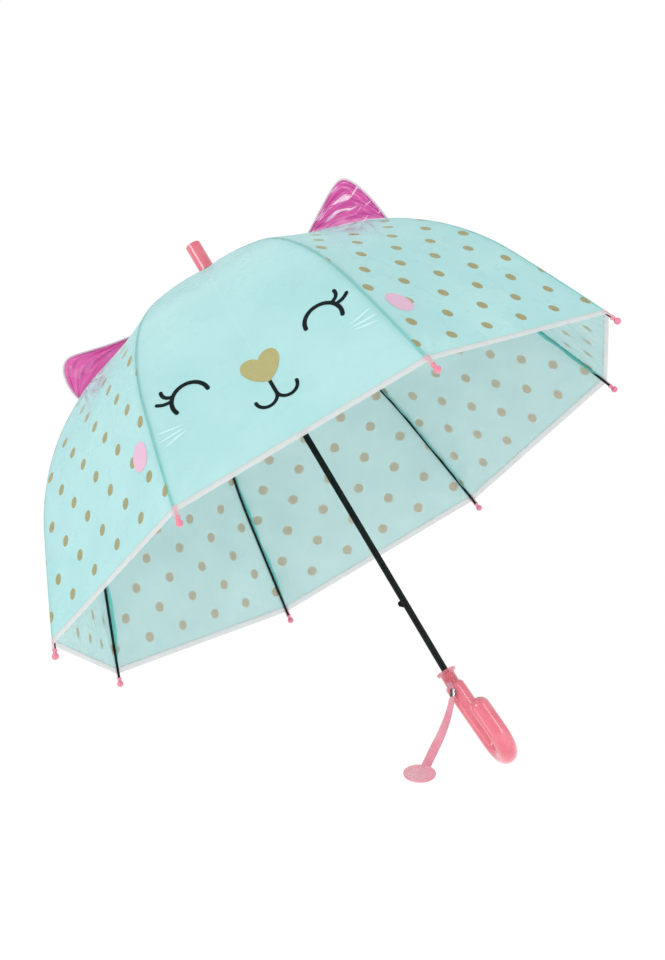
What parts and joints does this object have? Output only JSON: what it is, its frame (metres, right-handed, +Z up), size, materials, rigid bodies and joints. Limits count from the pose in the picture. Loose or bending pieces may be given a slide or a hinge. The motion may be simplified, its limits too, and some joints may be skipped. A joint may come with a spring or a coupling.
{
  "type": "children's umbrella",
  "caption": "Open dome umbrella for a child: translucent film canopy with a printed animal face and film ears, folding wire ribs, sliding runner, J handle and wrist strap.",
  "frame": {"origin": "on the shaft's axis at the middle of the grip, where a hand holds it", "axes": "+Z up the shaft to the ferrule; the plain front panel with the face looks to -Y; the ears stand to +X and -X"},
  "size_m": [0.6508, 0.6508, 0.6596],
  "materials": {
    "shaft_metal": "semi-gloss black paint",
    "black_metal": "black lacquered wire",
    "black_plastic": "moulded, fine satin",
    "pink_plastic": "glossy translucent moulding",
    "canopy_film": "soft milky film, printed, heat-welded seams",
    "hem_film": "folded white film band",
    "ear_film": "shiny crinkled film",
    "piping_clear": "clear welded edge",
    "strap_vinyl": "soft satin vinyl",
    "crimp_metal": "bright pressed metal"
  },
  "bodies": {
    "frame": {"shaft": "shaft_metal", "crown": "black_plastic", "ferrule": "pink_plastic", "handle": "pink_plastic", "strap": "strap_vinyl", "strap_crimp": "crimp_metal", "strap_disc": "strap_vinyl"},
    "runner": {"runner": "black_plastic"},
    "catch_open": {"catch_open": "black_metal"},
    "catch_closed": {"catch_closed": "black_metal"},
    "rib_inner_1": {"rib_inner_1": "black_metal"},
    "rib_outer_1": {"rib_outer_1": "black_metal", "tip_1": "pink_plastic"},
    "stretcher_1": {"stretcher_1": "black_metal"},
    "gore_upper_1": {"panel_upper_1": "canopy_film"},
    "gore_lower_1": {"panel_lower_1": "canopy_film"},
    "rib_inner_2": {"rib_inner_2": "black_metal"},
    "rib_outer_2": {"rib_outer_2": "black_metal", "tip_2": "pink_plastic"},
    "stretcher_2": {"stretcher_2": "black_metal"},
    "gore_upper_2": {"panel_upper_2": "canopy_film"},
    "gore_lower_2": {"panel_lower_2": "canopy_film"},
    "rib_inner_3": {"rib_inner_3": "black_metal", "ear_right": "ear_film"},
    "rib_outer_3": {"rib_outer_3": "black_metal", "tip_3": "pink_plastic"},
    "stretcher_3": {"stretcher_3": "black_metal"},
    "gore_upper_3": {"panel_upper_3": "canopy_film"},
    "gore_lower_3": {"panel_lower_3": "canopy_film"},
    "rib_inner_4": {"rib_inner_4": "black_metal"},
    "rib_outer_4": {"rib_outer_4": "black_metal", "tip_4": "pink_plastic"},
    "stretcher_4": {"stretcher_4": "black_metal"},
    "gore_upper_4": {"panel_upper_4": "canopy_film"},
    "gore_lower_4": {"panel_lower_4": "canopy_film"},
    "rib_inner_5": {"rib_inner_5": "black_metal"},
    "rib_outer_5": {"rib_outer_5": "black_metal", "tip_5": "pink_plastic"},
    "stretcher_5": {"stretcher_5": "black_metal"},
    "gore_upper_5": {"panel_upper_5": "canopy_film"},
    "gore_lower_5": {"panel_lower_5": "canopy_film"},
    "rib_inner_6": {"rib_inner_6": "black_metal"},
    "rib_outer_6": {"rib_outer_6": "black_metal", "tip_6": "pink_plastic"},
    "stretcher_6": {"stretcher_6": "black_metal"},
    "gore_upper_6": {"panel_upper_6": "canopy_film"},
    "gore_lower_6": {"panel_lower_6": "canopy_film"},
    "rib_inner_7": {"rib_inner_7": "black_metal"},
    "rib_outer_7": {"rib_outer_7": "black_metal", "tip_7": "pink_plastic"},
    "stretcher_7": {"stretcher_7": "black_metal"},
    "gore_upper_7": {"panel_upper_7": "canopy_film"},
    "gore_lower_7": {"panel_lower_7": "canopy_film"},
    "rib_inner_8": {"rib_inner_8": "black_metal", "ear_left": "ear_film"},
    "rib_outer_8": {"rib_outer_8": "black_metal", "tip_8": "pink_plastic"},
    "stretcher_8": {"stretcher_8": "black_metal"},
    "gore_upper_8": {"panel_upper_8": "canopy_film"},
    "gore_lower_8": {"panel_lower_8": "canopy_film"}
  },
  "joints": [
    {"name": "runner_slide", "type": "slide", "parent": "frame", "child": "runner", "axis": [0, 0, -1], "range_m": [0, 0.24716]},
    {"name": "catch_open_press", "type": "hinge", "parent": "frame", "child": "catch_open", "pos_m": [-0.0017, 0, 0.35948], "axis": [0, 1, 0], "range_deg": [0, 7.2], "stiffness_Nm_per_rad": 0.2},
    {"name": "catch_closed_press", "type": "hinge", "parent": "frame", "child": "catch_closed", "pos_m": [-0.0017, 0, 0.112], "axis": [0, 1, 0], "range_deg": [0, 7.2], "stiffness_Nm_per_rad": 0.2},
    {"name": "rib_1", "type": "hinge", "parent": "frame", "child": "rib_inner_1", "pos_m": [-0.00354, -0.00855, 0.563], "axis": [0.9239, -0.3827, 0], "range_deg": [0, 65.82]},
    {"name": "rib_flex_1", "type": "hinge", "parent": "rib_inner_1", "child": "rib_outer_1", "pos_m": [-0.07832, -0.18908, 0.48153], "axis": [0.9239, -0.3827, 0], "range_deg": [-35.95, 0]},
    {"name": "stretcher_1_fold", "type": "hinge", "parent": "rib_inner_1", "child": "stretcher_1", "pos_m": [-0.07579, -0.18298, 0.48059], "axis": [0.9239, -0.3827, 0], "range_deg": [-131.64, 0]},
    {"name": "gore_upper_1_fold", "type": "hinge", "parent": "frame", "child": "gore_upper_1", "pos_m": [0, -0.00855, 0.563], "axis": [1, 0, 0], "range_deg": [0, 64.35], "deforming": ["panel_upper_1"]},
    {"name": "gore_lower_1_fold", "type": "hinge", "parent": "gore_upper_1", "child": "gore_lower_1", "pos_m": [0, -0.19013, 0.48318], "axis": [1, 0, 0], "range_deg": [-36.28, 0], "deforming": ["panel_lower_1"]},
    {"name": "rib_2", "type": "hinge", "parent": "frame", "child": "rib_inner_2", "pos_m": [0.00354, -0.00855, 0.563], "axis": [0.9239, 0.3827, 0], "range_deg": [0, 65.82]},
    {"name": "rib_flex_2", "type": "hinge", "parent": "rib_inner_2", "child": "rib_outer_2", "pos_m": [0.07832, -0.18908, 0.48153], "axis": [0.9239, 0.3827, 0], "range_deg": [-35.95, 0]},
    {"name": "stretcher_2_fold", "type": "hinge", "parent": "rib_inner_2", "child": "stretcher_2", "pos_m": [0.07579, -0.18298, 0.48059], "axis": [0.9239, 0.3827, 0], "range_deg": [-131.64, 0]},
    {"name": "gore_upper_2_fold", "type": "hinge", "parent": "frame", "child": "gore_upper_2", "pos_m": [0.00605, -0.00605, 0.563], "axis": [0.7071, 0.7071, 0], "range_deg": [0, 64.35], "deforming": ["panel_upper_2"]},
    {"name": "gore_lower_2_fold", "type": "hinge", "parent": "gore_upper_2", "child": "gore_lower_2", "pos_m": [0.13444, -0.13444, 0.48318], "axis": [0.7071, 0.7071, 0], "range_deg": [-36.28, 0], "deforming": ["panel_lower_2"]},
    {"name": "rib_3", "type": "hinge", "parent": "frame", "child": "rib_inner_3", "pos_m": [0.00855, -0.00354, 0.563], "axis": [0.3827, 0.9239, 0], "range_deg": [0, 65.82]},
    {"name": "rib_flex_3", "type": "hinge", "parent": "rib_inner_3", "child": "rib_outer_3", "pos_m": [0.18908, -0.07832, 0.48153], "axis": [0.3827, 0.9239, 0], "range_deg": [-35.95, 0]},
    {"name": "stretcher_3_fold", "type": "hinge", "parent": "rib_inner_3", "child": "stretcher_3", "pos_m": [0.18298, -0.07579, 0.48059], "axis": [0.3827, 0.9239, 0], "range_deg": [-131.64, 0]},
    {"name": "gore_upper_3_fold", "type": "hinge", "parent": "frame", "child": "gore_upper_3", "pos_m": [0.00855, 0, 0.563], "axis": [0, 1, 0], "range_deg": [0, 64.35], "deforming": ["panel_upper_3"]},
    {"name": "gore_lower_3_fold", "type": "hinge", "parent": "gore_upper_3", "child": "gore_lower_3", "pos_m": [0.19013, 0, 0.48318], "axis": [0, 1, 0], "range_deg": [-36.28, 0], "deforming": ["panel_lower_3"]},
    {"name": "rib_4", "type": "hinge", "parent": "frame", "child": "rib_inner_4", "pos_m": [0.00855, 0.00354, 0.563], "axis": [-0.3827, 0.9239, 0], "range_deg": [0, 65.82]},
    {"name": "rib_flex_4", "type": "hinge", "parent": "rib_inner_4", "child": "rib_outer_4", "pos_m": [0.18908, 0.07832, 0.48153], "axis": [-0.3827, 0.9239, 0], "range_deg": [-35.95, 0]},
    {"name": "stretcher_4_fold", "type": "hinge", "parent": "rib_inner_4", "child": "stretcher_4", "pos_m": [0.18298, 0.07579, 0.48059], "axis": [-0.3827, 0.9239, 0], "range_deg": [-131.64, 0]},
    {"name": "gore_upper_4_fold", "type": "hinge", "parent": "frame", "child": "gore_upper_4", "pos_m": [0.00605, 0.00605, 0.563], "axis": [-0.7071, 0.7071, 0], "range_deg": [0, 64.35], "deforming": ["panel_upper_4"]},
    {"name": "gore_lower_4_fold", "type": "hinge", "parent": "gore_upper_4", "child": "gore_lower_4", "pos_m": [0.13444, 0.13444, 0.48318], "axis": [-0.7071, 0.7071, 0], "range_deg": [-36.28, 0], "deforming": ["panel_lower_4"]},
    {"name": "rib_5", "type": "hinge", "parent": "frame", "child": "rib_inner_5", "pos_m": [0.00354, 0.00855, 0.563], "axis": [-0.9239, 0.3827, 0], "range_deg": [0, 65.82]},
    {"name": "rib_flex_5", "type": "hinge", "parent": "rib_inner_5", "child": "rib_outer_5", "pos_m": [0.07832, 0.18908, 0.48153], "axis": [-0.9239, 0.3827, 0], "range_deg": [-35.95, 0]},
    {"name": "stretcher_5_fold", "type": "hinge", "parent": "rib_inner_5", "child": "stretcher_5", "pos_m": [0.07579, 0.18298, 0.48059], "axis": [-0.9239, 0.3827, 0], "range_deg": [-131.64, 0]},
    {"name": "gore_upper_5_fold", "type": "hinge", "parent": "frame", "child": "gore_upper_5", "pos_m": [0, 0.00855, 0.563], "axis": [-1, 0, 0], "range_deg": [0, 64.35], "deforming": ["panel_upper_5"]},
    {"name": "gore_lower_5_fold", "type": "hinge", "parent": "gore_upper_5", "child": "gore_lower_5", "pos_m": [0, 0.19013, 0.48318], "axis": [-1, 0, 0], "range_deg": [-36.28, 0], "deforming": ["panel_lower_5"]},
    {"name": "rib_6", "type": "hinge", "parent": "frame", "child": "rib_inner_6", "pos_m": [-0.00354, 0.00855, 0.563], "axis": [-0.9239, -0.3827, 0], "range_deg": [0, 65.82]},
    {"name": "rib_flex_6", "type": "hinge", "parent": "rib_inner_6", "child": "rib_outer_6", "pos_m": [-0.07832, 0.18908, 0.48153], "axis": [-0.9239, -0.3827, 0], "range_deg": [-35.95, 0]},
    {"name": "stretcher_6_fold", "type": "hinge", "parent": "rib_inner_6", "child": "stretcher_6", "pos_m": [-0.07579, 0.18298, 0.48059], "axis": [-0.9239, -0.3827, 0], "range_deg": [-131.64, 0]},
    {"name": "gore_upper_6_fold", "type": "hinge", "parent": "frame", "child": "gore_upper_6", "pos_m": [-0.00605, 0.00605, 0.563], "axis": [-0.7071, -0.7071, 0], "range_deg": [0, 64.35], "deforming": ["panel_upper_6"]},
    {"name": "gore_lower_6_fold", "type": "hinge", "parent": "gore_upper_6", "child": "gore_lower_6", "pos_m": [-0.13444, 0.13444, 0.48318], "axis": [-0.7071, -0.7071, 0], "range_deg": [-36.28, 0], "deforming": ["panel_lower_6"]},
    {"name": "rib_7", "type": "hinge", "parent": "frame", "child": "rib_inner_7", "pos_m": [-0.00855, 0.00354, 0.563], "axis": [-0.3827, -0.9239, 0], "range_deg": [0, 65.82]},
    {"name": "rib_flex_7", "type": "hinge", "parent": "rib_inner_7", "child": "rib_outer_7", "pos_m": [-0.18908, 0.07832, 0.48153], "axis": [-0.3827, -0.9239, 0], "range_deg": [-35.95, 0]},
    {"name": "stretcher_7_fold", "type": "hinge", "parent": "rib_inner_7", "child": "stretcher_7", "pos_m": [-0.18298, 0.07579, 0.48059], "axis": [-0.3827, -0.9239, 0], "range_deg": [-131.64, 0]},
    {"name": "gore_upper_7_fold", "type": "hinge", "parent": "frame", "child": "gore_upper_7", "pos_m": [-0.00855, 0, 0.563], "axis": [0, -1, 0], "range_deg": [0, 64.35], "deforming": ["panel_upper_7"]},
    {"name": "gore_lower_7_fold", "type": "hinge", "parent": "gore_upper_7", "child": "gore_lower_7", "pos_m": [-0.19013, 0, 0.48318], "axis": [0, -1, 0], "range_deg": [-36.28, 0], "deforming": ["panel_lower_7"]},
    {"name": "rib_8", "type": "hinge", "parent": "frame", "child": "rib_inner_8", "pos_m": [-0.00855, -0.00354, 0.563], "axis": [0.3827, -0.9239, 0], "range_deg": [0, 65.82]},
    {"name": "rib_flex_8", "type": "hinge", "parent": "rib_inner_8", "child": "rib_outer_8", "pos_m": [-0.18908, -0.07832, 0.48153], "axis": [0.3827, -0.9239, 0], "range_deg": [-35.95, 0]},
    {"name": "stretcher_8_fold", "type": "hinge", "parent": "rib_inner_8", "child": "stretcher_8", "pos_m": [-0.18298, -0.07579, 0.48059], "axis": [0.3827, -0.9239, 0], "range_deg": [-131.64, 0]},
    {"name": "gore_upper_8_fold", "type": "hinge", "parent": "frame", "child": "gore_upper_8", "pos_m": [-0.00605, -0.00605, 0.563], "axis": [0.7071, -0.7071, 0], "range_deg": [0, 64.35], "deforming": ["panel_upper_8"]},
    {"name": "gore_lower_8_fold", "type": "hinge", "parent": "gore_upper_8", "child": "gore_lower_8", "pos_m": [-0.13444, -0.13444, 0.48318], "axis": [0.7071, -0.7071, 0], "range_deg": [-36.28, 0], "deforming": ["panel_lower_8"]}
  ],
  "couplings": [
    {"joint": "rib_1", "follows": "runner_slide", "rad_per_m": 4.6479},
    {"joint": "rib_flex_1", "follows": "runner_slide", "rad_per_m": -2.539},
    {"joint": "stretcher_1_fold", "follows": "runner_slide", "rad_per_m": -9.2958},
    {"joint": "gore_upper_1_fold", "follows": "runner_slide", "rad_per_m": 4.5442},
    {"joint": "gore_lower_1_fold", "follows": "runner_slide", "rad_per_m": -2.5622},
    {"joint": "rib_2", "follows": "runner_slide", "rad_per_m": 4.6479},
    {"joint": "rib_flex_2", "follows": "runner_slide", "rad_per_m": -2.539},
    {"joint": "stretcher_2_fold", "follows": "runner_slide", "rad_per_m": -9.2958},
    {"joint": "gore_upper_2_fold", "follows": "runner_slide", "rad_per_m": 4.5442},
    {"joint": "gore_lower_2_fold", "follows": "runner_slide", "rad_per_m": -2.5622},
    {"joint": "rib_3", "follows": "runner_slide", "rad_per_m": 4.6479},
    {"joint": "rib_flex_3", "follows": "runner_slide", "rad_per_m": -2.539},
    {"joint": "stretcher_3_fold", "follows": "runner_slide", "rad_per_m": -9.2958},
    {"joint": "gore_upper_3_fold", "follows": "runner_slide", "rad_per_m": 4.5442},
    {"joint": "gore_lower_3_fold", "follows": "runner_slide", "rad_per_m": -2.5622},
    {"joint": "rib_4", "follows": "runner_slide", "rad_per_m": 4.6479},
    {"joint": "rib_flex_4", "follows": "runner_slide", "rad_per_m": -2.539},
    {"joint": "stretcher_4_fold", "follows": "runner_slide", "rad_per_m": -9.2958},
    {"joint": "gore_upper_4_fold", "follows": "runner_slide", "rad_per_m": 4.5442},
    {"joint": "gore_lower_4_fold", "follows": "runner_slide", "rad_per_m": -2.5622},
    {"joint": "rib_5", "follows": "runner_slide", "rad_per_m": 4.6479},
    {"joint": "rib_flex_5", "follows": "runner_slide", "rad_per_m": -2.539},
    {"joint": "stretcher_5_fold", "follows": "runner_slide", "rad_per_m": -9.2958},
    {"joint": "gore_upper_5_fold", "follows": "runner_slide", "rad_per_m": 4.5442},
    {"joint": "gore_lower_5_fold", "follows": "runner_slide", "rad_per_m": -2.5622},
    {"joint": "rib_6", "follows": "runner_slide", "rad_per_m": 4.6479},
    {"joint": "rib_flex_6", "follows": "runner_slide", "rad_per_m": -2.539},
    {"joint": "stretcher_6_fold", "follows": "runner_slide", "rad_per_m": -9.2958},
    {"joint": "gore_upper_6_fold", "follows": "runner_slide", "rad_per_m": 4.5442},
    {"joint": "gore_lower_6_fold", "follows": "runner_slide", "rad_per_m": -2.5622},
    {"joint": "rib_7", "follows": "runner_slide", "rad_per_m": 4.6479},
    {"joint": "rib_flex_7", "follows": "runner_slide", "rad_per_m": -2.539},
    {"joint": "stretcher_7_fold", "follows": "runner_slide", "rad_per_m": -9.2958},
    {"joint": "gore_upper_7_fold", "follows": "runner_slide", "rad_per_m": 4.5442},
    {"joint": "gore_lower_7_fold", "follows": "runner_slide", "rad_per_m": -2.5622},
    {"joint": "rib_8", "follows": "runner_slide", "rad_per_m": 4.6479},
    {"joint": "rib_flex_8", "follows": "runner_slide", "rad_per_m": -2.539},
    {"joint": "stretcher_8_fold", "follows": "runner_slide", "rad_per_m": -9.2958},
    {"joint": "gore_upper_8_fold", "follows": "runner_slide", "rad_per_m": 4.5442},
    {"joint": "gore_lower_8_fold", "follows": "runner_slide", "rad_per_m": -2.5622}
  ]
}
